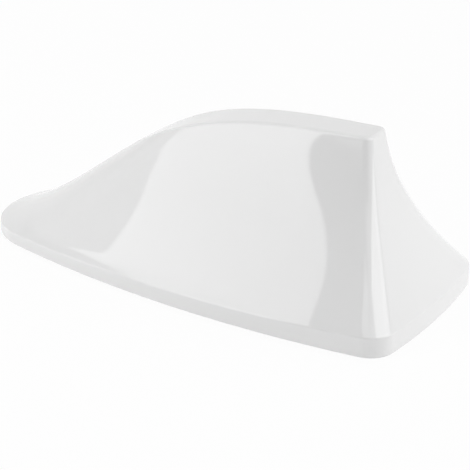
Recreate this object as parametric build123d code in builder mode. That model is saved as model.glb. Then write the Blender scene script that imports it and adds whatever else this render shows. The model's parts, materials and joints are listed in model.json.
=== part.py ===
import os
from math import sqrt

from build123d import *

os.makedirs("parts", exist_ok=True)

# Overall size of the fin: nose at -X, rear at +X, standing on the roof at Z = 0
length = 170.0
height = 60.0
rear_width = 71.4
wall = 2.5

# Rim outline, seen from above
nose_radius = 25.0
corner_radius = 9.0
side_radius = 404.0
rear_radius = 214.0
rim_height = 7.0
nose_rim_height = 3.6

# Crest line, seen from the side: a curve steered by the run and rise of its handles
nose_run = 43.5
nose_rise = 17.3
brow_run = 60.4
brow_drop = 3.2
top_run = 55.0
top_drop = 1.0
rear_rake = 22.8

# Shoulder, above which the crest is planed off to a flat strip
shoulder_height = 38.0
shoulder_slope = 0.8
shoulder_blend = 6.0
nose_set_back = 0.3

# Size of the top, and how each size grows down to the rim: a share of 1 is straight, 0 a parabola
top_width = 12.4
top_nose_radius = 6.7
top_corner_radius = 2.9
top_side_radius = 1900.0
width_share = 0.27
rear_share = 0.24
nose_share = 0.7
corner_share = 0.5

# Loft of the fin: level lines from above the rim to a little above the top
first_level = 10.0
level_count = 9
head_room = 2.0
flank_inset_share = 0.75
inner_corner = 0.8
crest_halvings = 40

# Softened edges of the cover: a bevel along the rim, a round along the crest
rim_bevel_height = 0.7
rim_bevel_depth = 0.3
crest_round = 1.2

# Layers under the cover
pad_thickness = 1.2
pad_gap = 0.8
plate_thickness = 2.4
plate_gap = 0.6

# Screws that hold the cover to the plate, and their bosses
front_boss_from_nose = 35.0
middle_boss_from_rear = 80.0
middle_boss_spread = 54.0
rear_boss_from_rear = 19.0
rear_boss_spread = 44.0
boss_diameter = 7.0
cover_screw_diameter = 2.9
cover_screw_grip = 5.0
cover_screw_head = 5.4
screw_head_height = 1.0
screw_clearance = 0.15
head_clearance = 0.6
screw_edge = 0.3
screw_point = 0.5
recess_length = 2.2
recess_width = 0.6
recess_depth = 0.5

# Cable entry
cable_from_rear = 33.0
cable_bore = 4.0
grommet_neck = 12.0
grommet_flange = 16.0
grommet_top = 1.5
grommet_foot = 1.0
seal_ring_width = 4.5
seal_gap = 0.5

# Circuit board on its standoffs
board_from_nose = 43.0
board_length = 78.0
board_width = 34.0
board_thickness = 1.6
board_corner = 2.0
standoff_height = 4.0
standoff_diameter = 6.0
screw_from_edge = 4.5
board_screw_diameter = 2.2
board_screw_head = 4.4
board_screw_length = 5.0

# Radiator: an upright board with a folded copper track
radiator_front = 12.0
radiator_length = 64.0
radiator_thickness = 1.0
radiator_gap = 2.0
tab_length = 6.0
tab_from_end = 9.0
tab_proud = 0.8
slot_clearance = 0.15
track_width = 1.6
track_pitch = 4.0
track_margin = 2.5
track_thickness = 0.2

# Pieces on the board, placed from its front edge and from its middle line
can_length = 24.0
can_width = 11.0
can_height = 4.5
can_wall = 0.3
can_front = 14.0
can_side = 9.5
chip_length = 6.0
chip_width = 5.0
chip_height = 1.4
choke_diameter = 8.0
choke_neck = 4.0
choke_height = 7.0
choke_flange = 1.2
choke_front = 20.0
choke_side = 9.0
winding_gap = 0.4
fit_clearance = 0.05
transistor_length = 2.9
transistor_width = 1.6
transistor_height = 1.1
transistor_front = 34.0
transistor_side = 9.0
bead_length = 2.0
bead_width = 1.25
capacitor_height = 1.0
resistor_height = 0.5
bead_pitch = 4.5
bead_count = 5
capacitor_front = 42.0
capacitor_side = 7.0
resistor_side = 11.0
earth_clip_length = 6.0
earth_clip_width = 5.4
earth_clip_height = 4.0
earth_clip_metal = 0.4
earth_clip_front = 59.0
terminal_side = 8.0
core_post_diameter = 1.6
core_post_height = 4.0
core_base_diameter = 3.2
core_base_height = 1.2
core_post_front = 52.0

# Heights and places that follow
nose_x = -length / 2
rear_x = length / 2
top_rear_x = rear_x - rear_rake
plate_top = pad_thickness + plate_thickness
board_z = plate_top + standoff_height
board_top = board_z + board_thickness
board_front_x = nose_x + board_from_nose
board_x = board_front_x + board_length / 2
level_top = height + head_room
cable_x = rear_x - cable_from_rear
radiator_x = board_front_x + radiator_front
radiator_inset = wall + radiator_gap
boss_places = [(nose_x + front_boss_from_nose, 0)]
for side in (-1, 1):
    boss_places.append((rear_x - middle_boss_from_rear, side * middle_boss_spread / 2))
    boss_places.append((rear_x - rear_boss_from_rear, side * rear_boss_spread / 2))
screw_pitch_x = board_length - 2 * screw_from_edge
screw_pitch_y = board_width - 2 * screw_from_edge
crest_points = [
    (nose_x, nose_rim_height),
    (nose_x + nose_run, nose_rim_height + nose_rise),
    (nose_x + brow_run, height - brow_drop),
    (top_rear_x - top_run, height - top_drop),
    (top_rear_x, height),
]


# Crest point at a share of the curve
def crest_at(share):
    points = [Vector(*point) for point in crest_points]
    while len(points) > 1:
        points = [a + (b - a) * share for a, b in zip(points, points[1:])]
    return points[0]


# Crest point whose X, or whose Y (its height), has the given value
def crest_where(axis, value):
    low = 0.0
    high = 1.0
    for _ in range(crest_halvings):
        middle = (low + high) / 2
        if getattr(crest_at(middle), axis) < value:
            low = middle
        else:
            high = middle
    return crest_at(low)


# Foremost point of the fin at a height: along the crest, and straight below the rim and above the shoulder
def nose_at(z):
    if z < nose_rim_height:
        return nose_x + nose_set_back + (z - nose_rim_height) * nose_run / nose_rise
    shoulder_x = crest_where("Y", min(z, shoulder_height)).X
    return shoulder_x + nose_set_back + max(z - shoulder_height, 0) / shoulder_slope


# A size that grows from the top down to the rim, where drop is 1
def grow(top, rim, share, drop):
    return top + (rim - top) * (share * drop + (1 - share) * drop**2)


# Closed line of six tangent arcs: nose, side, corner, rear, corner, side
def fin_line(front, nose_r, half_width, corner_r, rear, side_r, rear_r):
    nose_centre = Vector(front + nose_r, 0)
    rear_centre = Vector(rear - rear_r, 0)
    corner_y = half_width - corner_r
    corner_centre = Vector(rear_centre.X + sqrt((rear_r - corner_r) ** 2 - corner_y**2), corner_y)
    span = corner_centre - nose_centre
    ahead = span.normalized()
    nose_reach = side_r - nose_r
    along = (nose_reach**2 - (side_r - corner_r) ** 2 + span.length**2) / (2 * span.length)
    away = sqrt(nose_reach**2 - along**2)
    side_centre = nose_centre + ahead * along + Vector(ahead.Y, -ahead.X) * away
    nose_end = side_centre + (nose_centre - side_centre).normalized() * side_r
    side_end = side_centre + (corner_centre - side_centre).normalized() * side_r
    rear_end = rear_centre + (corner_centre - rear_centre).normalized() * rear_r
    side_middle = side_centre + (nose_end + side_end - side_centre * 2).normalized() * side_r
    corner_middle = corner_centre + (side_end + rear_end - corner_centre * 2).normalized() * corner_r
    nose_far, side_far, rear_far, side_middle_far, corner_middle_far = [
        Vector(point.X, -point.Y) for point in (nose_end, side_end, rear_end, side_middle, corner_middle)
    ]
    ThreePointArc(nose_far, (front, 0), nose_end)
    ThreePointArc(nose_end, side_middle, side_end)
    ThreePointArc(side_end, corner_middle, rear_end)
    ThreePointArc(rear_end, (rear, 0), rear_far)
    ThreePointArc(rear_far, corner_middle_far, side_far)
    ThreePointArc(side_far, side_middle_far, nose_far)


# Rim outline on a plane, moved inwards by inset
def rim_face(plane, inset=0.0):
    with BuildSketch(plane) as face:
        with BuildLine():
            fin_line(
                nose_x + inset,
                nose_radius - inset,
                rear_width / 2 - inset,
                corner_radius - inset,
                rear_x - inset,
                side_radius - inset,
                rear_radius - inset,
            )
        make_face()
    return face.sketch


# Level line of the fin at a height, for a skin that lies inset under the outer one
def level_face(z, inset=0.0):
    drop = (height - z - inset) / (height - rim_height)
    flank = inset * flank_inset_share
    side_curve = drop / side_radius + (1 - drop) / top_side_radius
    with BuildSketch(Plane.XY.offset(z)) as face:
        with BuildLine():
            fin_line(
                nose_at(z + inset) + flank,
                grow(top_nose_radius, nose_radius, nose_share, drop) - flank,
                grow(top_width, rear_width, width_share, drop) / 2 - flank,
                max(grow(top_corner_radius, corner_radius, corner_share, drop) - flank, inner_corner),
                grow(top_rear_x, rear_x, rear_share, drop) - flank,
                1 / side_curve - flank,
                rear_radius - flank,
            )
        make_face()
    return face.sketch


# Side view of all that lies under the crest, for the same inset skin
def crest_face(inset=0.0):
    flank = inset * flank_inset_share
    with BuildSketch(Plane.XZ.offset(-rear_width)) as face:
        with BuildLine():
            crest = Bezier(*[(x + flank, z - inset) for x, z in crest_points])
            Polyline(
                crest @ 1,
                (length, height - inset),
                (length, -length),
                (-length, -length),
                crest @ 0,
            )
        make_face()
        with Locations((0, shoulder_height - shoulder_blend - inset)):
            Rectangle(2 * length, length, align=(Align.CENTER, Align.MAX))
    return face.sketch


# Flat layer under the cover, clear of its walls by gap
def layer_solid(z, thickness, gap):
    with BuildPart() as layer:
        extrude(rim_face(Plane.XY.offset(z), wall + gap), amount=thickness)
        extrude(level_face(z + thickness, wall + gap), amount=-thickness, mode=Mode.INTERSECT)
    return layer.part


# Cross-recessed screw, its head under Z = 0 and its shank upwards
def screw(head, shank, shank_length):
    with BuildPart() as one:
        with BuildSketch(Plane.XY.offset(-screw_head_height)):
            Circle(head / 2)
        extrude(amount=screw_head_height)
        chamfer(one.edges().group_by(Axis.Z)[0], screw_edge)
        with BuildSketch():
            Circle(shank / 2)
        extrude(amount=shank_length)
        chamfer(one.edges().group_by(Axis.Z)[-1], screw_point)
        with BuildSketch(Plane.XY.offset(-screw_head_height)):
            Rectangle(recess_length, recess_width)
            Rectangle(recess_width, recess_length)
        extrude(amount=recess_depth, mode=Mode.SUBTRACT)
    return one.part


# Space inside the cover, less the bosses that come down to the plate
with BuildPart() as hollow:
    loft([level_face(level_top * level / level_count, wall) for level in range(level_count + 1)])
    extrude(rim_face(Plane.XY, wall), amount=level_top, mode=Mode.INTERSECT)
    extrude(crest_face(wall), amount=2 * rear_width, mode=Mode.INTERSECT)
    with BuildSketch(Plane.XY.offset(plate_top)):
        with Locations(*boss_places):
            Circle(boss_diameter / 2)
    extrude(amount=height, mode=Mode.SUBTRACT)

# Cover: gloss moulding that rises from a sloping rim, with rounded edges and a hole in each boss
rim_rise = rim_height - nose_rim_height
rim_plane = Plane(
    origin=(0, 0, nose_rim_height + rim_rise / 2),
    x_dir=(length, 0, rim_rise),
    z_dir=(-rim_rise, 0, length),
)
skirt_top = rim_face(rim_plane.offset(-rim_bevel_height / 2))
flank_foot = rim_face(rim_plane.offset(rim_bevel_height / 2), rim_bevel_depth)
level_step = (level_top - first_level) / level_count
flank_levels = [level_face(first_level + level_step * level) for level in range(level_count + 1)]
with BuildPart() as cover:
    loft([rim_face(Plane.XY), skirt_top], ruled=True)
    loft([skirt_top, flank_foot], ruled=True)
    loft([flank_foot] + flank_levels)
    extrude(crest_face(), amount=2 * rear_width, mode=Mode.INTERSECT)
    fillet(cover.faces().filter_by(GeomType.EXTRUSION).edges(), crest_round)
    add(hollow.part, mode=Mode.SUBTRACT)
    with BuildSketch(Plane.XY.offset(plate_top)):
        with Locations(*boss_places):
            Circle(cover_screw_diameter / 2 + screw_clearance)
    extrude(amount=cover_screw_grip + screw_clearance, mode=Mode.SUBTRACT)
cover.part.label = "cover"
export_step(cover.part, "parts/cover.step")

# Base plate: closes the cover and carries the board on four standoffs
with BuildPart() as base_plate:
    add(layer_solid(pad_thickness, plate_thickness, plate_gap))
    with BuildSketch(Plane.XY.offset(plate_top)):
        with Locations((board_x, 0)):
            with GridLocations(screw_pitch_x, screw_pitch_y, 2, 2):
                Circle(standoff_diameter / 2)
    extrude(amount=standoff_height)
    with BuildSketch(Plane.XY.offset(board_z)):
        with Locations((board_x, 0)):
            with GridLocations(screw_pitch_x, screw_pitch_y, 2, 2):
                Circle(board_screw_diameter / 2 + screw_clearance)
    extrude(amount=-board_screw_length, mode=Mode.SUBTRACT)
    with BuildSketch(Plane.XY.offset(plate_top)):
        with Locations(*boss_places):
            Circle(cover_screw_diameter / 2 + screw_clearance)
        with Locations((cable_x, 0)):
            Circle(grommet_neck / 2 + fit_clearance)
    extrude(amount=-plate_thickness, mode=Mode.SUBTRACT)
base_plate.part.label = "base_plate"
export_step(base_plate.part, "parts/base_plate.step")

# Foam pad that sticks to the roof, open round the screw heads and the cable seal
seal_inner = grommet_flange / 2 + seal_gap
seal_outer = seal_inner + seal_ring_width
with BuildPart() as adhesive_pad:
    add(layer_solid(0, pad_thickness, pad_gap))
    with BuildSketch():
        with Locations(*boss_places):
            Circle(cover_screw_head / 2 + head_clearance)
        with Locations((cable_x, 0)):
            Circle(seal_outer + seal_gap)
    extrude(amount=pad_thickness, mode=Mode.SUBTRACT)
adhesive_pad.part.label = "adhesive_pad"
export_step(adhesive_pad.part, "parts/adhesive_pad.step")

# Rubber ring that seals the roof round the cable
with BuildPart() as cable_seal:
    with BuildSketch():
        with Locations((cable_x, 0)):
            Circle(seal_outer)
            Circle(seal_inner, mode=Mode.SUBTRACT)
    extrude(amount=pad_thickness)
cable_seal.part.label = "cable_seal"
export_step(cable_seal.part, "parts/cable_seal.step")

# Rubber bush that grips the plate round the cable hole
with BuildPart() as cable_grommet:
    with BuildSketch(Plane.XY.offset(pad_thickness)):
        with Locations((cable_x, 0)):
            Circle(grommet_neck / 2)
    extrude(amount=plate_thickness)
    with BuildSketch(Plane.XY.offset(plate_top)):
        with Locations((cable_x, 0)):
            Circle(grommet_flange / 2)
    extrude(amount=grommet_top)
    with BuildSketch(Plane.XY.offset(pad_thickness)):
        with Locations((cable_x, 0)):
            Circle(grommet_flange / 2)
    extrude(amount=-grommet_foot)
    with BuildSketch():
        with Locations((cable_x, 0)):
            Circle(cable_bore / 2)
    extrude(amount=plate_top + grommet_top, mode=Mode.SUBTRACT)
cable_grommet.part.label = "cable_grommet"
export_step(cable_grommet.part, "parts/cable_grommet.step")

# Screws from below, through the plate into the bosses
cover_screw = screw(cover_screw_head, cover_screw_diameter, plate_thickness + cover_screw_grip)
with BuildPart() as cover_screws:
    with Locations(*[(x, y, pad_thickness) for x, y in boss_places]):
        add(cover_screw)
cover_screws.part.label = "cover_screws"
export_step(cover_screws.part, "parts/cover_screws.step")

# Circuit board, with slots for the radiator's tabs
tab_places = [radiator_x + tab_from_end, radiator_x + radiator_length - tab_from_end]
with BuildPart() as circuit_board:
    with BuildSketch(Plane.XY.offset(board_z)):
        with Locations((board_x, 0)):
            RectangleRounded(board_length, board_width, board_corner)
            with GridLocations(screw_pitch_x, screw_pitch_y, 2, 2):
                Circle(board_screw_diameter / 2 + screw_clearance, mode=Mode.SUBTRACT)
        with Locations(*[(x, 0) for x in tab_places]):
            Rectangle(
                tab_length + 2 * slot_clearance,
                radiator_thickness + 2 * slot_clearance,
                mode=Mode.SUBTRACT,
            )
    extrude(amount=board_thickness)
circuit_board.part.label = "circuit_board"
export_step(circuit_board.part, "parts/circuit_board.step")

# Screws from above, through the board into the standoffs
board_screw = screw(board_screw_head, board_screw_diameter, board_screw_length)
with BuildPart() as board_screws:
    with Locations((board_x, 0, board_top)):
        with GridLocations(screw_pitch_x, screw_pitch_y, 2, 2):
            add(board_screw, rotation=(180, 0, 0))
board_screws.part.label = "board_screws"
export_step(board_screws.part, "parts/board_screws.step")

# Upright radiator board: its top edge runs along under the crest, its tabs go through the circuit board
with BuildPart() as radiator_board:
    with BuildSketch(Plane.XZ.offset(-radiator_thickness / 2)):
        with Locations((radiator_x, board_top)):
            Rectangle(radiator_length, height, align=(Align.MIN, Align.MIN))
    extrude(amount=radiator_thickness)
    extrude(crest_face(radiator_inset), amount=2 * rear_width, mode=Mode.INTERSECT)
    with BuildSketch(Plane.XZ.offset(-radiator_thickness / 2)):
        with Locations(*[(x, board_top) for x in tab_places]):
            Rectangle(tab_length, board_thickness + tab_proud, align=(Align.CENTER, Align.MAX))
    extrude(amount=radiator_thickness)
radiator_board.part.label = "radiator_board"
export_step(radiator_board.part, "parts/radiator_board.step")

# Copper track on the radiator: upright runs under the crest, joined in turn at the top and at the foot
run_count = int((radiator_length - 2 * track_margin - track_width) / track_pitch) + 1
run_places = [radiator_x + track_margin + track_pitch * run for run in range(run_count)]
track_foot = board_top + track_margin
flank_shift = radiator_inset * flank_inset_share
with BuildPart() as radiator_track:
    with BuildSketch(Plane.XZ.offset(radiator_thickness / 2)):
        for run, x in enumerate(run_places):
            pair_x = run_places[run - run % 2]
            run_top = crest_where("X", pair_x - flank_shift).Y - radiator_inset - track_margin
            foot = track_foot if run else board_top
            with Locations((x, foot)):
                Rectangle(track_width, run_top - foot, align=(Align.MIN, Align.MIN))
            if run + 1 < run_count:
                link_z = track_foot if run % 2 else run_top - track_width
                with Locations((x, link_z)):
                    Rectangle(track_pitch + track_width, track_width, align=(Align.MIN, Align.MIN))
    extrude(amount=track_thickness)
radiator_track.part.label = "radiator_track"
export_step(radiator_track.part, "parts/radiator_track.step")

# Metal can over the amplifier, open below
can_x = board_front_x + can_front + can_length / 2
with BuildPart() as shield_can:
    with BuildSketch(Plane.XY.offset(board_top)):
        with Locations((can_x, can_side)):
            Rectangle(can_length, can_width)
    extrude(amount=can_height)
    with BuildSketch(Plane.XY.offset(board_top)):
        with Locations((can_x, can_side)):
            Rectangle(can_length - 2 * can_wall, can_width - 2 * can_wall)
    extrude(amount=can_height - can_wall, mode=Mode.SUBTRACT)
shield_can.part.label = "shield_can"
export_step(shield_can.part, "parts/shield_can.step")

# Amplifier chip under the can
with BuildPart() as amplifier_chip:
    with BuildSketch(Plane.XY.offset(board_top)):
        with Locations((can_x, can_side)):
            Rectangle(chip_length, chip_width)
    extrude(amount=chip_height)
amplifier_chip.part.label = "amplifier_chip"
export_step(amplifier_chip.part, "parts/amplifier_chip.step")

# Choke: ferrite drum with two flanges
choke_x = board_front_x + choke_front
with BuildPart() as choke_core:
    with BuildSketch(Plane.XY.offset(board_top)):
        with Locations((choke_x, -choke_side)):
            Circle(choke_diameter / 2)
    extrude(amount=choke_height)
    with BuildSketch(Plane.XY.offset(board_top + choke_flange)):
        with Locations((choke_x, -choke_side)):
            Circle(choke_diameter / 2)
            Circle(choke_neck / 2, mode=Mode.SUBTRACT)
    extrude(amount=choke_height - 2 * choke_flange, mode=Mode.SUBTRACT)
choke_core.part.label = "choke_core"
export_step(choke_core.part, "parts/choke_core.step")

# Copper winding between the choke's flanges
with BuildPart() as choke_winding:
    with BuildSketch(Plane.XY.offset(board_top + choke_flange)):
        with Locations((choke_x, -choke_side)):
            Circle(choke_diameter / 2 - winding_gap)
            Circle(choke_neck / 2 + fit_clearance, mode=Mode.SUBTRACT)
    extrude(amount=choke_height - 2 * choke_flange)
choke_winding.part.label = "choke_winding"
export_step(choke_winding.part, "parts/choke_winding.step")

# Transistor
with BuildPart() as transistor:
    with BuildSketch(Plane.XY.offset(board_top)):
        with Locations((board_front_x + transistor_front, -transistor_side)):
            Rectangle(transistor_length, transistor_width)
    extrude(amount=transistor_height)
transistor.part.label = "transistor"
export_step(transistor.part, "parts/transistor.step")

# Rows of small capacitors and resistors
bead_row_x = board_front_x + capacitor_front + bead_pitch * (bead_count - 1) / 2
with BuildPart() as chip_capacitors:
    with BuildSketch(Plane.XY.offset(board_top)):
        with Locations((bead_row_x, -capacitor_side)):
            with GridLocations(bead_pitch, bead_pitch, bead_count, 1):
                Rectangle(bead_length, bead_width)
    extrude(amount=capacitor_height)
chip_capacitors.part.label = "chip_capacitors"
export_step(chip_capacitors.part, "parts/chip_capacitors.step")

with BuildPart() as chip_resistors:
    with BuildSketch(Plane.XY.offset(board_top)):
        with Locations((bead_row_x, -resistor_side)):
            with GridLocations(bead_pitch, bead_pitch, bead_count, 1):
                Rectangle(bead_length, bead_width)
    extrude(amount=resistor_height)
chip_resistors.part.label = "chip_resistors"
export_step(chip_resistors.part, "parts/chip_resistors.step")

# Folded clip that the cable's screen lies in
clip_x = board_front_x + earth_clip_front
with BuildPart() as earth_clip:
    with BuildSketch(Plane.YZ.offset(clip_x)):
        with Locations((terminal_side, board_top)):
            Rectangle(earth_clip_width, earth_clip_height, align=(Align.CENTER, Align.MIN))
        with Locations((terminal_side, board_top + earth_clip_metal)):
            Rectangle(
                earth_clip_width - 2 * earth_clip_metal,
                earth_clip_height,
                align=(Align.CENTER, Align.MIN),
                mode=Mode.SUBTRACT,
            )
    extrude(amount=earth_clip_length)
earth_clip.part.label = "earth_clip"
export_step(earth_clip.part, "parts/earth_clip.step")

# Turned post that the cable's core is soldered to
with BuildPart() as core_terminal:
    with BuildSketch(Plane.XY.offset(board_top)):
        with Locations((board_front_x + core_post_front, terminal_side)):
            Circle(core_base_diameter / 2)
    extrude(amount=core_base_height)
    with BuildSketch(Plane.XY.offset(board_top)):
        with Locations((board_front_x + core_post_front, terminal_side)):
            Circle(core_post_diameter / 2)
    extrude(amount=core_post_height)
core_terminal.part.label = "core_terminal"
export_step(core_terminal.part, "parts/core_terminal.step")
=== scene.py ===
import json
import math

import bmesh
import bpy
import numpy as np
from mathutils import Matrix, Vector
from mathutils.bvhtree import BVHTree


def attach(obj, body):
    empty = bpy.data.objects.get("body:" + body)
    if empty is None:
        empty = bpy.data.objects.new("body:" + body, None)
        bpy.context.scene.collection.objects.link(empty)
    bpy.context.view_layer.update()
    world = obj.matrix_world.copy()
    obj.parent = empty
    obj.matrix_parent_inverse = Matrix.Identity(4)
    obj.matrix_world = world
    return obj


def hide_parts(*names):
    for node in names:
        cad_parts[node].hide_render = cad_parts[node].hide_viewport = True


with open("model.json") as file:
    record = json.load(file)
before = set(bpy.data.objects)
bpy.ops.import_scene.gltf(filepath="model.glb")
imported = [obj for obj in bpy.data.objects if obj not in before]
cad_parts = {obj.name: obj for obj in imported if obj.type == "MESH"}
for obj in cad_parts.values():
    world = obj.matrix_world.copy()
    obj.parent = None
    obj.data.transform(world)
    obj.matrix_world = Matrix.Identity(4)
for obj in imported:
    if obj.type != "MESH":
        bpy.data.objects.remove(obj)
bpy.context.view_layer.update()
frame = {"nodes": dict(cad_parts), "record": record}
record = frame["record"]
millimetre = 0.001
print("frame loaded:", len(frame["nodes"]), "nodes")


# way from the object towards a place that two angles in degrees give
def wayTo(azimuth, elevation):
    a, e = math.radians(azimuth), math.radians(elevation)
    return Vector((math.sin(a) * math.cos(e), -math.cos(a) * math.cos(e), math.sin(e)))


# camera that stands where the picture was taken from
cameraSet = {
    "azimuth": 31.086,      # degrees round from the side view, towards the rear
    "elevation": 24.485,
    "distance": 0.600,
    "target": (0.00913, 0.0, 0.01223),
    "lens": 135.255,
    "sensor": 36.0,
    "clip": (0.01, 20.0),
}


def makeCamera(s):
    back = wayTo(s["azimuth"], s["elevation"])
    data = bpy.data.cameras.new("photoCamera")
    data.lens = s["lens"]
    data.sensor_width = s["sensor"]
    data.clip_start, data.clip_end = s["clip"]
    camera = bpy.data.objects.new("photoCamera", data)
    bpy.context.scene.collection.objects.link(camera)
    camera.rotation_mode = "QUATERNION"
    camera.location = Vector(s["target"]) + back * s["distance"]
    camera.rotation_quaternion = (-back).to_track_quat("-Z", "Y")
    bpy.context.scene.camera = camera


makeCamera(cameraSet)
print("camera placed")

# cover, with its sizes in millimetres
fin = {
    # outline of the rim
    "length": 170.0, "rearWidth": 71.4, "noseRadius": 25.0, "cornerRadius": 9.0,
    "sideRadius": 404.0, "rearRadius": 214.0, "rimHeight": 7.0, "noseRimHeight": 3.6,
    # line of the crest, between the rim at the nose and the rear end of the top strip
    "height": 60.0, "topRear": 62.2, "crestHandles": ((-41.5, 20.9), (-24.6, 56.8), (7.2, 59.0)),
    "shoulderHeight": 38.0, "shoulderSlope": 0.8, "noseSetBack": 0.3,
    # outline at the top, and how evenly each size grows from there to the rim
    "topWidth": 12.4, "topNoseRadius": 6.7, "topCornerRadius": 2.9, "topSideRadius": 1900.0,
    "widthShare": 0.27, "rearShare": 0.24, "noseShare": 0.7, "cornerShare": 0.5,
    # foot of the flank, crease and rounded edges
    "firstLevel": 10.0, "footHandle": 0.55, "noseSettle": 3.9, "settleTop": 35.0,
    "bevelHeight": 0.7, "bevelDepth": 0.3, "bevelHandle": 0.36, "crestRound": 1.2, "footRound": 0.35,
    # inner skin; a flank is inset by a share of the wall, measured level
    "wall": 2.5, "flankInset": 0.75, "innerCorner": 0.8, "innerLift": 2.0, "innerFirstLevel": 7.0,
    # screw bosses
    "bossPlaces": ((-50.0, 0.0), (5.0, 27.0), (5.0, -27.0), (66.0, 22.0), (66.0, -22.0)),
    "bossFoot": 3.6, "bossRadius": 3.5, "bossHole": 1.6, "bossHoleDepth": 5.15, "bossSink": 1.2,
    "bossRayHeight": 200.0,     # well over the top: a ray from there finds the skin above a boss
    # fineness of the mesh
    "noseColumns": 26, "sideColumns": 110, "cornerColumns": 26, "rearColumns": 22,
    "footRoundRows": 4, "skirtRows": 5, "roundRows": 9, "footRows": 14, "flankRows": 46, "innerRows": 26,
    "stripInsets": (0.4, 0.8, 1.2), "stripCells": 6, "innerCells": 4, "bossTurns": 28,
    # fineness of the crest line, search for the height where a skin meets it, steps for measuring slopes
    "crestSamples": 6001, "searchBelow": 6.0, "searchAbove": 1.0, "halvings": 50,
    "slopeStep": 0.05, "edgeStep": 0.5,
}

circleHandle = 0.55     # handle length of a curve that stands for a quarter circle
upward = np.array([[0.0, 0.0, 1.0]])
crestEnds = ((-fin["length"] / 2, fin["noseRimHeight"]), (fin["topRear"], fin["height"]))
crestPoints = (crestEnds[0], *fin["crestHandles"], crestEnds[1])
crestShare = np.linspace(0.0, 1.0, fin["crestSamples"])
degree = len(crestPoints) - 1
weights = [math.comb(degree, k) * crestShare**k * (1 - crestShare) ** (degree - k) for k in range(degree + 1)]
crestX = sum(w * p[0] for w, p in zip(weights, crestPoints))
crestZ = sum(w * p[1] for w, p in zip(weights, crestPoints))
crestSlope = np.gradient(crestZ, crestX)


def crestHeight(x):
    return np.interp(x, crestX, crestZ)


def noseAt(z):
    alongCrest = np.interp(np.minimum(z, fin["shoulderHeight"]), crestZ, crestX)
    above = np.maximum(z - fin["shoulderHeight"], 0) / fin["shoulderSlope"]
    return alongCrest + fin["noseSetBack"] + above


def grow(top, rim, share, drop):
    return top + (rim - top) * (share * drop + (1 - share) * drop**2)


# columns of the half outline: which arc each belongs to, from nose to rear, and how far along it
noseArc = 0
arcCounts = (fin["noseColumns"], fin["sideColumns"], fin["cornerColumns"], fin["rearColumns"])
arcOf = np.concatenate([np.full(n, k) for k, n in enumerate(arcCounts)] + [[len(arcCounts) - 1]])
alongArc = np.concatenate([np.arange(n) / n for n in arcCounts] + [[1.0]])
columnCount = len(arcOf)


def perColumn(value):
    return np.broadcast_to(np.asarray(value, float), (columnCount,))


def angleTo(centre, point):
    return np.arctan2(point[:, 1] - centre[:, 1], point[:, 0] - centre[:, 0])


# half of an outline of six tangent arcs, one point per column; every size may differ from column to column
def finLine(front, noseRadius, halfWidth, cornerRadius, rear, sideRadius, rearRadius):
    sizes = (front, noseRadius, halfWidth, cornerRadius, rear, sideRadius, rearRadius)
    front, noseRadius, halfWidth, cornerRadius, rear, sideRadius, rearRadius = map(perColumn, sizes)
    zero = np.zeros(columnCount)
    noseCentre = np.stack([front + noseRadius, zero], 1)
    rearCentre = np.stack([rear - rearRadius, zero], 1)
    cornerY = halfWidth - cornerRadius
    cornerX = rearCentre[:, 0] + np.sqrt((rearRadius - cornerRadius) ** 2 - cornerY**2)
    cornerCentre = np.stack([cornerX, cornerY], 1)
    span = cornerCentre - noseCentre
    far = np.linalg.norm(span, axis=1)
    ahead = span / far[:, None]
    across = np.stack([ahead[:, 1], -ahead[:, 0]], 1)
    noseReach = sideRadius - noseRadius
    along = (noseReach**2 - (sideRadius - cornerRadius) ** 2 + far**2) / (2 * far)
    away = np.sqrt(noseReach**2 - along**2)
    sideCentre = noseCentre + ahead * along[:, None] + across * away[:, None]
    noseEnd = angleTo(sideCentre, noseCentre)
    sideEnd = angleTo(sideCentre, cornerCentre)
    cornerEnd = angleTo(rearCentre, cornerCentre)
    starts = np.stack([np.full(columnCount, math.pi), noseEnd, sideEnd, cornerEnd], 1)
    ends = np.stack([noseEnd, sideEnd, cornerEnd, zero], 1)
    centres = np.stack([noseCentre, sideCentre, cornerCentre, rearCentre], 1)
    radii = np.stack([noseRadius, sideRadius, cornerRadius, rearRadius], 1)
    pick = np.arange(columnCount)
    start = starts[pick, arcOf]
    angle = start + alongArc * (ends[pick, arcOf] - start)
    radius = radii[pick, arcOf][:, None]
    return centres[pick, arcOf] + radius * np.stack([np.cos(angle), np.sin(angle)], 1)


def rimLine(inset):
    return finLine(
        -fin["length"] / 2 + inset,
        fin["noseRadius"] - inset,
        fin["rearWidth"] / 2 - inset,
        fin["cornerRadius"] - inset,
        fin["length"] / 2 - inset,
        fin["sideRadius"] - inset,
        fin["rearRadius"] - inset,
    )


# height of the sloping plane through the crease
def rimPlane(x):
    rise = (fin["rimHeight"] - fin["noseRimHeight"]) / fin["length"]
    return (fin["rimHeight"] + fin["noseRimHeight"]) / 2 + x * rise


# rim line on the sloping plane through the crease, raised by lift
def slopedRim(lift, inset):
    plan = rimLine(inset)
    return np.column_stack([plan, rimPlane(plan[:, 0]) + lift])


# the flanks settle towards the nose, where the rim is lower, while the crest keeps its line
def settle(points):
    share = (fin["settleTop"] - points[:, 2]) / (fin["settleTop"] - fin["rimHeight"])
    fall = fin["noseSettle"] * (0.5 - points[:, 0] / fin["length"]) ** 2
    offCrest = np.where(arcOf == noseArc, alongArc * alongArc * (3 - 2 * alongArc), 1.0)
    lower = fall * np.clip(share, 0.0, 1.0) ** 2 * offCrest
    return points - upward * lower[:, None]


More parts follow.
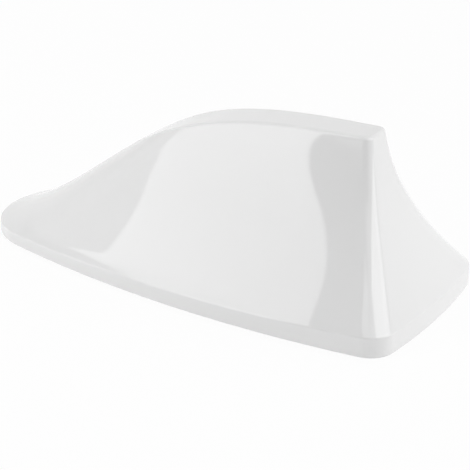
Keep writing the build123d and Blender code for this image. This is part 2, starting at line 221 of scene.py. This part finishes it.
# points of the skin at a height per column, for a skin that lies inset under the outer one
def levelPoints(z, inset=0.0):
    z = perColumn(z)
    drop = (fin["height"] - z - inset) / (fin["height"] - fin["rimHeight"])
    flank = inset * fin["flankInset"]
    curve = drop / fin["sideRadius"] + (1 - drop) / fin["topSideRadius"]
    corner = grow(fin["topCornerRadius"], fin["cornerRadius"], fin["cornerShare"], drop) - flank
    plan = finLine(
        noseAt(z + inset) + flank,
        grow(fin["topNoseRadius"], fin["noseRadius"], fin["noseShare"], drop) - flank,
        grow(fin["topWidth"], fin["rearWidth"], fin["widthShare"], drop) / 2 - flank,
        np.maximum(corner, fin["innerCorner"]),
        grow(fin["topRear"], fin["length"] / 2, fin["rearShare"], drop) - flank,
        1 / curve - flank,
        fin["rearRadius"] - flank,
    )
    return np.column_stack([plan, z])


# height per column where the skin meets the crest
def crestMeeting(inset=0.0):
    low = np.full(columnCount, fin["shoulderHeight"] - fin["searchBelow"] - inset)
    high = np.full(columnCount, fin["height"] + fin["searchAbove"])
    for halving in range(fin["halvings"]):
        middle = (low + high) / 2
        plan = levelPoints(middle, inset)
        over = middle > crestHeight(plan[:, 0] - inset * fin["flankInset"]) - inset
        high = np.where(over, middle, high)
        low = np.where(over, low, middle)
    return low


def unit(v):
    return v / np.linalg.norm(v, axis=1)[:, None]


# even shares of the way from just after a start to the end
def shares(count):
    return np.linspace(0, 1, count + 1)[1:]


def bezierRows(a, b, c, d, count):
    rows = []
    for t in shares(count):
        rows.append(a * (1 - t) ** 3 + b * 3 * t * (1 - t) ** 2 + c * 3 * t * t * (1 - t) + d * t**3)
    return rows


# rows of the rounded foot and the upright skirt
def skirtRows():
    foot = rimLine(0.0)
    footIn = rimLine(fin["footRound"])
    start = np.column_stack([footIn, np.zeros(columnCount)])
    end = np.column_stack([foot, np.full(columnCount, fin["footRound"])])
    outward = np.column_stack([foot - footIn, np.zeros(columnCount)]) * circleHandle
    rise = upward * fin["footRound"] * circleHandle
    skirtTop = slopedRim(-fin["bevelHeight"] / 2, 0.0)
    rows = [start] + bezierRows(start, start + outward, end - rise, end, fin["footRoundRows"])
    for t in shares(fin["skirtRows"]):
        rows.append(end * (1 - t) + skirtTop * t)
    return rows


# rows of the crease and of the hollow foot of the flank above it
def creaseRows(skirtTop):
    flankFoot = slopedRim(fin["bevelHeight"] / 2, fin["bevelDepth"])
    first = settle(levelPoints(fin["firstLevel"]))
    pace = (first[:, 2] - flankFoot[:, 2])[:, None]
    above = settle(levelPoints(fin["firstLevel"] + fin["slopeStep"]))
    below = settle(levelPoints(fin["firstLevel"] - fin["slopeStep"]))
    step = above - below
    slopeEnd = first - step / step[:, 2:] * pace * fin["footHandle"]
    slopeStart = (flankFoot + slopeEnd) / 2
    gap = np.linalg.norm(flankFoot - skirtTop, axis=1)[:, None] * fin["bevelHandle"]
    arrive = flankFoot - unit(slopeStart - flankFoot) * gap
    rows = bezierRows(skirtTop, skirtTop + upward * gap, arrive, flankFoot, fin["roundRows"])
    return rows + bezierRows(flankFoot, slopeStart, slopeEnd, first, fin["footRows"])


# rows of the flank, of its rounded edge along the crest and of the border of the strip on top
def flankRows():
    topZ = crestMeeting()
    edge = levelPoints(topZ)
    plan = edge[:, :2]
    tangent = np.gradient(plan, axis=0)
    tangent[0] = (0.0, 1.0)
    tangent[-1] = (0.0, -1.0)
    inward = unit(np.stack([tangent[:, 1], -tangent[:, 0]], 1))
    slope = np.interp(plan[:, 0], crestX, crestSlope)
    slope = np.where(plan[:, 0] > fin["topRear"], 0.0, slope)
    stripWay = unit(np.column_stack([inward, slope * inward[:, 0]]))
    flankDown = unit(levelPoints(topZ - fin["edgeStep"]) - edge)
    half = np.arccos(np.clip(np.sum(flankDown * stripWay, 1), -1, 1)) / 2
    reach = fin["crestRound"] / np.tan(half)
    lastZ = topZ + reach * flankDown[:, 2]
    rows = []
    for t in shares(fin["flankRows"]):
        rows.append(settle(levelPoints(fin["firstLevel"] * (1 - t) + lastZ * t)))
    last = levelPoints(lastZ)
    lie = edge + stripWay * reach[:, None]
    lie[:, 2] = crestHeight(lie[:, 0])
    bow = (4 / 3 * np.tan((math.pi - 2 * half) / 4) * fin["crestRound"])[:, None]
    rows += bezierRows(last, last - flankDown * bow, lie - stripWay * bow, lie, fin["roundRows"])
    for inset in fin["stripInsets"]:
        ring = lie.copy()
        ring[:, :2] = lie[:, :2] + inward * inset
        ring[:, 1] = np.maximum(ring[:, 1], 0.0)
        ring[:, 2] = crestHeight(ring[:, 0])
        rows.append(ring)
    return rows


# rows of the outer skin, from the foot up to the strip along the crest
def outerRows():
    rows = skirtRows()
    rows += creaseRows(rows[-1])
    return rows + flankRows()


# rows of the inner skin, from the foot up
def innerRows():
    wall = fin["wall"]
    foot = np.column_stack([rimLine(wall), np.zeros(columnCount)])
    rows = [foot, foot + upward * fin["innerLift"]]
    topZ = crestMeeting(wall)
    for t in np.linspace(0, 1, fin["innerRows"]):
        rows.append(levelPoints(fin["innerFirstLevel"] * (1 - t) + topZ * t, wall))
    return rows


# closed ring of a row and its mirror image, in metres
def addRing(bm, row):
    near = [bm.verts.new((x * millimetre, -y * millimetre, z * millimetre)) for x, y, z in row]
    far = [bm.verts.new((x * millimetre, y * millimetre, z * millimetre)) for x, y, z in row[1:-1]]
    return near + far[::-1]


def bridge(bm, a, b):
    for k in range(len(a)):
        n = (k + 1) % len(a)
        bm.faces.new((a[k], a[n], b[n], b[k]))


# closes a ring across, cell by cell between near and far columns
def closeAcross(bm, ring, cells, heightOf, flip):
    near = ring[:columnCount]
    far = [ring[0]] + ring[columnCount:][::-1] + [ring[columnCount - 1]]
    lines = []
    for k in range(columnCount):
        if k in (0, columnCount - 1):
            lines.append([near[k]] * (cells + 1))
            continue
        a, b = near[k].co, far[k].co
        line = [near[k]]
        for c in range(1, cells):
            p = a.lerp(b, c / cells)
            p.z = heightOf(p.x / millimetre) * millimetre
            line.append(bm.verts.new(p))
        line.append(far[k])
        lines.append(line)
    for k in range(columnCount - 1):
        for c in range(cells):
            corner = [lines[k][c], lines[k + 1][c], lines[k + 1][c + 1], lines[k][c + 1]]
            loop = list(dict.fromkeys(corner))
            bm.faces.new(loop[::-1] if flip else loop)


# boss with a blind screw hole; the boss ends inside the wall, under the outer skin
def addBoss(bm, tree, x, y):
    overTop = fin["bossRayHeight"] * millimetre
    foot = fin["bossFoot"] * millimetre
    hole, outside = fin["bossHole"], fin["bossRadius"]
    rings = []
    for radius, rise in ((hole, fin["bossHoleDepth"]), (hole, 0.0), (outside, 0.0), (outside, None)):
        ring = []
        for k in range(fin["bossTurns"]):
            a = 2 * math.pi * k / fin["bossTurns"]
            px = (x + radius * math.cos(a)) * millimetre
            py = (y + radius * math.sin(a)) * millimetre
            if rise is None:
                hit = tree.ray_cast(Vector((px, py, overTop)), Vector((0, 0, -1)))[0]
                pz = hit.z - fin["bossSink"] * millimetre
            else:
                pz = foot + rise * millimetre
            ring.append(bm.verts.new((px, py, pz)))
        rings.append(ring)
    bm.faces.new(rings[0])
    for a, b in zip(rings, rings[1:]):
        bridge(bm, b, a)
    bm.faces.new(rings[-1][::-1])


def meshObject(name, bm, recalc=True):
    if recalc:
        bmesh.ops.recalc_face_normals(bm, faces=bm.faces)
    for face in bm.faces:
        face.smooth = True
    mesh = bpy.data.meshes.new(name)
    bm.to_mesh(mesh)
    bm.free()
    obj = bpy.data.objects.new(name, mesh)
    bpy.context.scene.collection.objects.link(obj)
    return obj


def makeCover():
    bm = bmesh.new()
    rings = [addRing(bm, row) for row in outerRows()]
    for a, b in zip(rings, rings[1:]):
        bridge(bm, a, b)
    closeAcross(bm, rings[-1], fin["stripCells"], crestHeight, False)
    bm.normal_update()
    tree = BVHTree.FromBMesh(bm)
    inner = [addRing(bm, row) for row in innerRows()]
    for a, b in zip(inner, inner[1:]):
        bridge(bm, a, b)
    wall = fin["wall"]
    flank = wall * fin["flankInset"]
    closeAcross(bm, inner[-1], fin["innerCells"], lambda x: crestHeight(x - flank) - wall, True)
    bridge(bm, inner[0], rings[0])
    for x, y in fin["bossPlaces"]:
        addBoss(bm, tree, x, y)
    return meshObject("coverShell", bm)


cover = makeCover()
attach(cover, "root")
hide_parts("cover")
print("cover made:", len(cover.data.polygons), "faces")


# building blocks of the materials
def emptyMaterial(name):
    material = bpy.data.materials.new(name)
    material.use_nodes = True
    nodes, links = material.node_tree.nodes, material.node_tree.links
    nodes.clear()
    return material, nodes, links, nodes.new("ShaderNodeOutputMaterial").inputs["Surface"]


def newFinish(name):
    material, nodes, links, surface = emptyMaterial(name)
    shader = nodes.new("ShaderNodeBsdfPrincipled")
    links.new(shader.outputs["BSDF"], surface)
    return material, nodes, links, shader


def objectPoint(nodes):
    return nodes.new("ShaderNodeTexCoord").outputs["Object"]


def noiseOf(nodes, links, point, scale, detail):
    noise = nodes.new("ShaderNodeTexNoise")
    noise.inputs["Scale"].default_value = scale
    noise.inputs["Detail"].default_value = detail
    links.new(point, noise.inputs["Vector"])
    return noise.outputs["Fac"]


def rampOf(nodes, links, fac, stops, colours):
    ramp = nodes.new("ShaderNodeValToRGB")
    for element, place, colour in zip(ramp.color_ramp.elements, stops, colours):
        element.position = place
        element.color = (*colour, 1.0)
    links.new(fac, ramp.inputs["Fac"])
    return ramp.outputs["Color"]


def rangeOf(nodes, links, fac, low, high):
    node = nodes.new("ShaderNodeMapRange")
    node.inputs["To Min"].default_value = low
    node.inputs["To Max"].default_value = high
    links.new(fac, node.inputs["Value"])
    return node.outputs["Result"]


def bumpOf(nodes, links, fac, strength, distance):
    bump = nodes.new("ShaderNodeBump")
    bump.inputs["Strength"].default_value = strength
    bump.inputs["Distance"].default_value = distance
    links.new(fac, bump.inputs["Height"])
    return bump.outputs["Normal"]


# white moulding with faint clouds in its colour and its gloss
whiteGloss = {
    "colours": ((0.745, 0.745, 0.745), (0.755, 0.755, 0.755)),
    "cloudScale": 22.0, "cloudDetail": 2.0, "cloudStops": (0.35, 0.65),
    "rough": (0.03, 0.045), "roughScale": 60.0, "roughDetail": 3.0,
    "ior": 1.6,
}


def makeWhiteGloss(s):
    material, nodes, links, shader = newFinish("whiteGlossMoulding")
    point = objectPoint(nodes)
    clouds = noiseOf(nodes, links, point, s["cloudScale"], s["cloudDetail"])
    colour = rampOf(nodes, links, clouds, s["cloudStops"], s["colours"])
    links.new(colour, shader.inputs["Base Color"])
    wear = noiseOf(nodes, links, point, s["roughScale"], s["roughDetail"])
    links.new(rangeOf(nodes, links, wear, *s["rough"]), shader.inputs["Roughness"])
    shader.inputs["IOR"].default_value = s["ior"]
    return material


cover.data.materials.append(makeWhiteGloss(whiteGloss))

# finish for each slot of the plain nodes: two colours, roughness range, metal, grain scale, depth in metres
finishes = {
    "black_plastic": {
        "colours": ((0.022, 0.022, 0.024), (0.036, 0.036, 0.038)),
        "rough": (0.45, 0.62), "metal": 0.0, "grain": 900.0, "depth": 0.00006,
    },
    "foam": {
        "colours": ((0.03, 0.03, 0.03), (0.075, 0.075, 0.072)),
        "rough": (0.85, 1.0), "metal": 0.0, "grain": 1300.0, "depth": 0.00018,
    },
    "seal_rubber": {
        "colours": ((0.02, 0.02, 0.02), (0.04, 0.04, 0.04)),
        "rough": (0.55, 0.75), "metal": 0.0, "grain": 700.0, "depth": 0.00005,
    },
    "grommet_rubber": {
        "colours": ((0.014, 0.014, 0.014), (0.03, 0.03, 0.03)),
        "rough": (0.4, 0.55), "metal": 0.0, "grain": 600.0, "depth": 0.00003,
    },
    "screw_steel": {
        "colours": ((0.5, 0.5, 0.49), (0.64, 0.64, 0.62)),
        "rough": (0.24, 0.42), "metal": 1.0, "grain": 1500.0, "depth": 0.00001,
    },
    "board_green": {
        "colours": ((0.008, 0.11, 0.035), (0.02, 0.17, 0.06)),
        "rough": (0.25, 0.4), "metal": 0.0, "grain": 320.0, "depth": 0.00002,
    },
    "copper": {
        "colours": ((0.62, 0.27, 0.13), (0.78, 0.4, 0.24)),
        "rough": (0.25, 0.42), "metal": 1.0, "grain": 900.0, "depth": 0.00001,
    },
    "tin_plate": {
        "colours": ((0.6, 0.6, 0.58), (0.74, 0.74, 0.71)),
        "rough": (0.28, 0.45), "metal": 1.0, "grain": 500.0, "depth": 0.00001,
    },
    "chip_black": {
        "colours": ((0.012, 0.012, 0.013), (0.026, 0.026, 0.027)),
        "rough": (0.5, 0.65), "metal": 0.0, "grain": 1800.0, "depth": 0.00002,
    },
    "ferrite": {
        "colours": ((0.05, 0.05, 0.053), (0.09, 0.09, 0.094)),
        "rough": (0.5, 0.7), "metal": 0.0, "grain": 1400.0, "depth": 0.00003,
    },
    "capacitor_tan": {
        "colours": ((0.42, 0.29, 0.17), (0.54, 0.39, 0.24)),
        "rough": (0.35, 0.5), "metal": 0.0, "grain": 1500.0, "depth": 0.00001,
    },
    "resistor_black": {
        "colours": ((0.02, 0.02, 0.026), (0.05, 0.05, 0.058)),
        "rough": (0.35, 0.5), "metal": 0.0, "grain": 1500.0, "depth": 0.00001,
    },
    "terminal_brass": {
        "colours": ((0.62, 0.46, 0.18), (0.78, 0.62, 0.3)),
        "rough": (0.22, 0.38), "metal": 1.0, "grain": 1200.0, "depth": 0.00001,
    },
}

# what all these finishes share: fine grain, and patches of colour that are a number of grains wide
grainSet = {"detail": 4.0, "bump": 0.6, "patchGrains": 9.0, "patchDetail": 3.0, "patchStops": (0.3, 0.7)}


def makeFinish(slotName, s, g):
    material, nodes, links, shader = newFinish(slotName + "Finish")
    point = objectPoint(nodes)
    grain = noiseOf(nodes, links, point, s["grain"], g["detail"])
    patches = noiseOf(nodes, links, point, s["grain"] / g["patchGrains"], g["patchDetail"])
    colour = rampOf(nodes, links, patches, g["patchStops"], s["colours"])
    links.new(colour, shader.inputs["Base Color"])
    links.new(rangeOf(nodes, links, grain, *s["rough"]), shader.inputs["Roughness"])
    links.new(bumpOf(nodes, links, grain, g["bump"], s["depth"]), shader.inputs["Normal"])
    shader.inputs["Metallic"].default_value = s["metal"]
    return material


slotMaterials = {name: makeFinish(name, s, grainSet) for name, s in finishes.items()}
for row in record["subparts"]:
    node = frame["nodes"][row["node"]]
    if row["node"] == "cover":
        continue
    node.data.materials.clear()
    node.data.materials.append(slotMaterials[row["material_slot"]])
print("materials made:", len(bpy.data.materials))


# seen, mirrored and refracted rays get the plain white of the studio
def whiteRays(nodes, links):
    path = nodes.new("ShaderNodeLightPath")
    total = path.outputs["Is Camera Ray"]
    for kind in ("Is Glossy Ray", "Is Transmission Ray"):
        either = nodes.new("ShaderNodeMath")
        either.operation = "MAXIMUM"
        links.new(total, either.inputs[0])
        links.new(path.outputs[kind], either.inputs[1])
        total = either.outputs[0]
    return total


# floor, in metres
floorSet = {
    "size": 30.0,
    "height": -0.0001,
    "colour": (0.85, 0.85, 0.85),
    "glow": 0.93,     # share of plain white that camera and mirrors see; the paper keeps the shadow
    "lift": 0.5,      # share of it that lights the object from below
}


def makeFloor(s):
    bm = bmesh.new()
    bmesh.ops.create_grid(bm, x_segments=1, y_segments=1, size=s["size"] / 2)
    floor = meshObject("studioFloor", bm, False)
    material, nodes, links, surface = emptyMaterial("studioPaper")
    paper = nodes.new("ShaderNodeBsdfDiffuse")
    paper.inputs["Color"].default_value = (*s["colour"], 1.0)
    glow = nodes.new("ShaderNodeEmission")
    mix = nodes.new("ShaderNodeMixShader")
    links.new(rangeOf(nodes, links, whiteRays(nodes, links), s["lift"], s["glow"]), mix.inputs["Fac"])
    links.new(paper.outputs["BSDF"], mix.inputs[1])
    links.new(glow.outputs["Emission"], mix.inputs[2])
    clear = nodes.new("ShaderNodeMixShader")      # from below the floor can be seen through
    links.new(nodes.new("ShaderNodeNewGeometry").outputs["Backfacing"], clear.inputs["Fac"])
    links.new(mix.outputs["Shader"], clear.inputs[1])
    links.new(nodes.new("ShaderNodeBsdfTransparent").outputs["BSDF"], clear.inputs[2])
    links.new(clear.outputs["Shader"], surface)
    floor.data.materials.append(material)
    floor.location.z = s["height"]


makeFloor(floorSet)

# soft fill of the room: the way each fill comes from, how tightly it gathers there, and its level
worldSet = {
    "rear": {"way": (1.0, 0.0, 0.0), "power": 2.0, "level": 1.8},
    "far": {"way": (0.0, 1.0, 0.0), "power": 2.0, "level": 0.8},
    "top": {"way": (0.0, 0.34, 0.94), "power": 8.0, "level": 1.8},
}


def makeWorld(fills):
    world = bpy.data.worlds.new("studioWorld")
    bpy.context.scene.world = world
    world.use_nodes = True
    nodes, links = world.node_tree.nodes, world.node_tree.links
    nodes.clear()
    output = nodes.new("ShaderNodeOutputWorld")
    back = nodes.new("ShaderNodeBackground")
    back.inputs["Color"].default_value = (1, 1, 1, 1)
    point = nodes.new("ShaderNodeTexCoord").outputs["Generated"]
    total = None
    for fill in fills.values():
        towards = nodes.new("ShaderNodeVectorMath")
        towards.operation = "DOT_PRODUCT"
        towards.inputs[1].default_value = fill["way"]
        links.new(point, towards.inputs[0])
        facing = nodes.new("ShaderNodeClamp")
        links.new(towards.outputs["Value"], facing.inputs["Value"])
        gather = nodes.new("ShaderNodeMath")
        gather.operation = "POWER"
        gather.inputs[1].default_value = fill["power"]
        links.new(facing.outputs["Result"], gather.inputs[0])
        lobe = nodes.new("ShaderNodeMath")
        lobe.operation = "MULTIPLY_ADD"
        lobe.inputs[1].default_value = fill["level"]
        lobe.inputs[2].default_value = 0.0
        links.new(gather.outputs[0], lobe.inputs[0])
        if total is not None:
            links.new(total, lobe.inputs[2])
        total = lobe.outputs[0]
    strength = nodes.new("ShaderNodeMapRange")
    strength.inputs["To Max"].default_value = 1.0
    links.new(whiteRays(nodes, links), strength.inputs["Value"])
    links.new(total, strength.inputs["To Min"])
    links.new(strength.outputs["Result"], back.inputs["Strength"])
    links.new(back.outputs["Background"], output.inputs["Surface"])


makeWorld(worldSet)


# points along a curve with two handles
def bend(start, leave, arrive, end, count=16):
    points = []
    for k in range(count + 1):
        t = k / count
        pulls = ((1 - t) ** 3, 3 * t * (1 - t) ** 2, 3 * t * t * (1 - t), t**3)
        x, y = [sum(w * p[axis] for w, p in zip(pulls, (start, leave, arrive, end))) for axis in (0, 1)]
        points.append((x, y))
    return points


# curved edges in metres in the panel's plane: two of the left softbox, with the side wall against its left
# one, and one of the right softbox
softboxLeft = bend((0.10, -0.41), (0.01, 0.02), (-0.17, -0.06), (-0.52, 0.30))
softboxRight = bend((0.295, -0.41), (0.23, 0.09), (0.26, 0.22), (0.02, 0.52))
rightSoftboxEdge = bend((-0.46, 0.58), (-0.5, 0.15), (-0.25, -0.12), (0.2, -0.56))

# light panels: the way they stand from the object, how far, their outline, the level of their soft light,
# and the level that a gloss surface mirrors: in the middle, and its change per metre across and up
panelSet = {
    "leftSoftbox": {
        "azimuth": -38.0, "elevation": 25.0, "distance": 0.9,
        "outline": softboxRight + [(-0.42, 0.66)] + softboxLeft[::-1],
        "soft": 2.94, "mirrored": (2.86, -0.93, -1.71),
    },
    "sideWall": {
        "azimuth": -38.0, "elevation": 25.0, "distance": 0.9,
        "outline": softboxLeft + [(-0.42, 0.66), (-1.6, 0.9), (-1.6, -0.41)],
        "soft": 0.0, "mirrored": (1.35, 0.35, -0.29),
    },
    "rightSoftbox": {
        "azimuth": 97.0, "elevation": 30.0, "distance": 0.9,
        "outline": rightSoftboxEdge + [(0.27, -0.56), (0.27, 0.58)],
        "soft": 1.81, "mirrored": (3.0, -0.8, 0.0),
    },
    "darkCard": {       # shows in the upper part of the rear edge
        "azimuth": 21.0, "elevation": 15.0, "distance": 0.9,
        "outline": [(-0.66, -0.23), (0.6, -0.23), (0.6, 0.3), (-0.66, 0.3)],
        "soft": 0.0, "mirrored": (0.07, 0.0, 0.0),
    },
    "darkRoom": {       # shows in the band beside the left softbox
        "azimuth": 0.0, "elevation": 28.0, "distance": 1.2,
        "outline": [(-0.6, -0.56), (0.5, -0.56), (0.5, 0.95), (-0.6, 0.95)],
        "soft": 0.0, "mirrored": (0.18, 0.0, 0.0),
    },
    "lowStrip": {
        "azimuth": -38.0, "elevation": 25.0, "distance": 0.88,
        "outline": [(-1.2, -0.39), (0.08, -0.39), (0.08, -0.22), (-1.2, -0.22)],
        "soft": 5.0, "mirrored": (2.57, 0.0, 0.0),
    },
    "overheadStrip": {
        "azimuth": -25.0, "elevation": 66.0, "distance": 0.9,
        "outline": [(-0.7, -0.11), (0.5, -0.11), (0.5, 0.11), (-0.7, 0.11)],
        "soft": 0.0, "mirrored": (1.22, 0.0, 0.0),
    },
}


# one face of a panel, which lights either the soft part of a surface or its mirroring part
def makePanel(name, s, levels, mirrors):
    away = wayTo(s["azimuth"], s["elevation"])
    bm = bmesh.new()
    bm.faces.new([bm.verts.new((x, y, 0.0)) for x, y in s["outline"]])
    bmesh.ops.triangulate(bm, faces=bm.faces[:])
    panel = meshObject(name, bm, False)
    panel.rotation_mode = "QUATERNION"
    panel.rotation_quaternion = away.to_track_quat("Z", "Y")
    panel.location = away * s["distance"]
    panel.visible_camera = False
    panel.visible_glossy = mirrors
    panel.visible_diffuse = not mirrors
    panel.visible_shadow = not mirrors
    material, nodes, links, surface = emptyMaterial(name + "Glow")
    glow = nodes.new("ShaderNodeEmission")
    middle, acrossChange, upChange = levels
    change = nodes.new("ShaderNodeVectorMath")
    change.operation = "DOT_PRODUCT"
    change.inputs[1].default_value = (acrossChange, upChange, 0.0)
    links.new(objectPoint(nodes), change.inputs[0])
    level = nodes.new("ShaderNodeMath")
    level.operation = "ADD"
    level.inputs[1].default_value = middle
    links.new(change.outputs["Value"], level.inputs[0])
    links.new(level.outputs[0], glow.inputs["Strength"])
    links.new(glow.outputs["Emission"], surface)
    panel.data.materials.append(material)


for panelName, values in panelSet.items():
    if values["soft"]:
        makePanel(panelName, values, (values["soft"], 0.0, 0.0), False)
    makePanel(panelName + "Mirror", values, values["mirrored"], True)
print("floor, world and", len(panelSet), "light panels made")

bpy.context.scene.view_settings.view_transform = "Standard"
print("stage lit")
